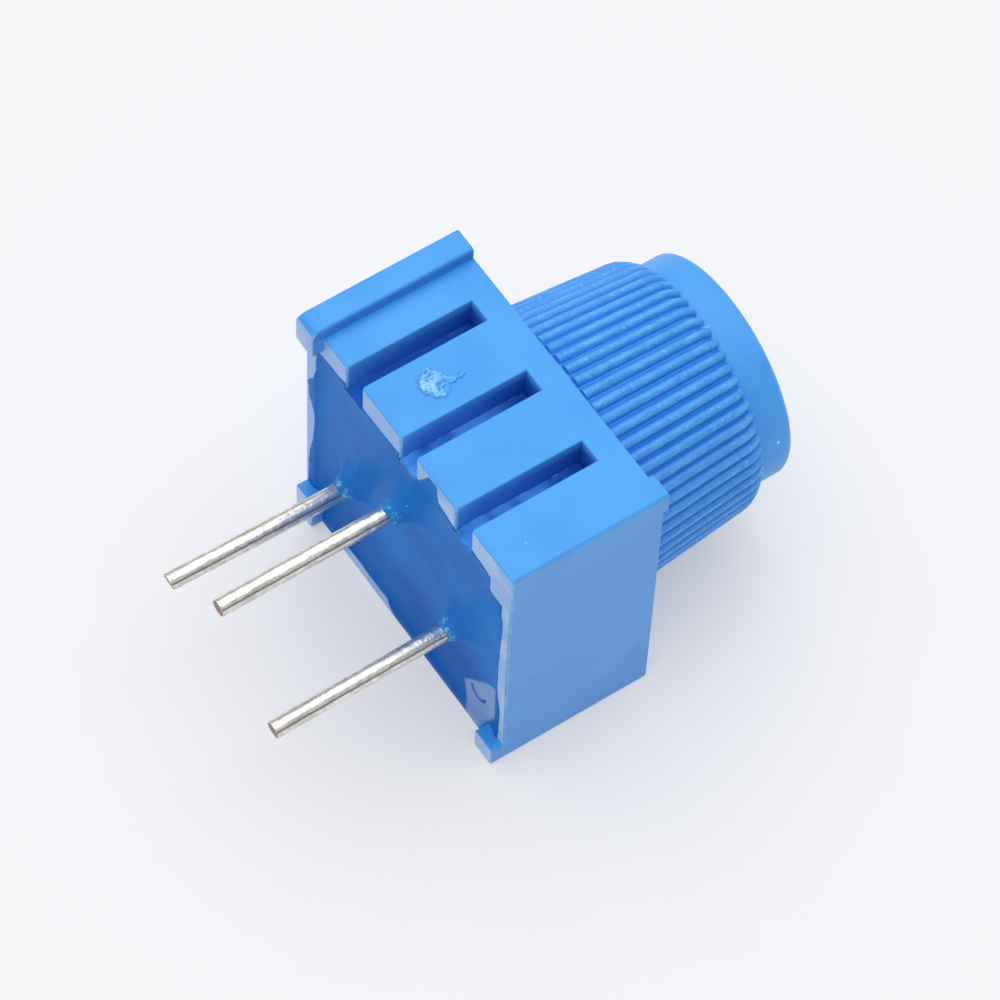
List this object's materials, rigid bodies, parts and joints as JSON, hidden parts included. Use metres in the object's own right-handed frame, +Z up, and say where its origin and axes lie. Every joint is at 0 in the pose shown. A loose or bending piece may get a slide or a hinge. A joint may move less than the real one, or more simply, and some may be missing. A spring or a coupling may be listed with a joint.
{
  "type": "trimmer potentiometer",
  "caption": "Square single-turn trimmer potentiometer with a slotted housing, three wire terminals potted at the rear and a fluted thumb knob that turns about the shaft.",
  "frame": {"origin": "under the middle of the whole part's box, on the surface that the housing's plain lower side lies on", "axes": "+X to the plain side wall, +Y along the shaft towards the knob, +Z up out of the slotted face"},
  "size_m": [0.0096, 0.0158, 0.0095],
  "materials": {
    "housing_plastic": "satin moulded blue",
    "knob_plastic": "satin moulded blue",
    "potting_resin": "glossy cast resin",
    "alumina": "fired",
    "cermet": "fired film",
    "silver_film": "fired film",
    "tinned_wire": "solder coated",
    "rotor_plastic": "moulded",
    "contact_metal": "stamped",
    "seal_rubber": "moulded"
  },
  "bodies": {
    "case": {"housing": "housing_plastic", "potting": "potting_resin", "substrate": "alumina", "resistive_track": "cermet", "conductors": "silver_film", "terminal_1": "tinned_wire", "terminal_2": "tinned_wire", "terminal_3": "tinned_wire"},
    "turning": {"rotor": "rotor_plastic", "wiper": "contact_metal", "seal_ring": "seal_rubber", "knob": "knob_plastic"}
  },
  "joints": [
    {"name": "knob_turn", "type": "hinge", "parent": "case", "child": "turning", "pos_m": [0, 0.00464, 0.00477], "axis": [0, 1, 0], "range_deg": [-155, 155]}
  ]
}
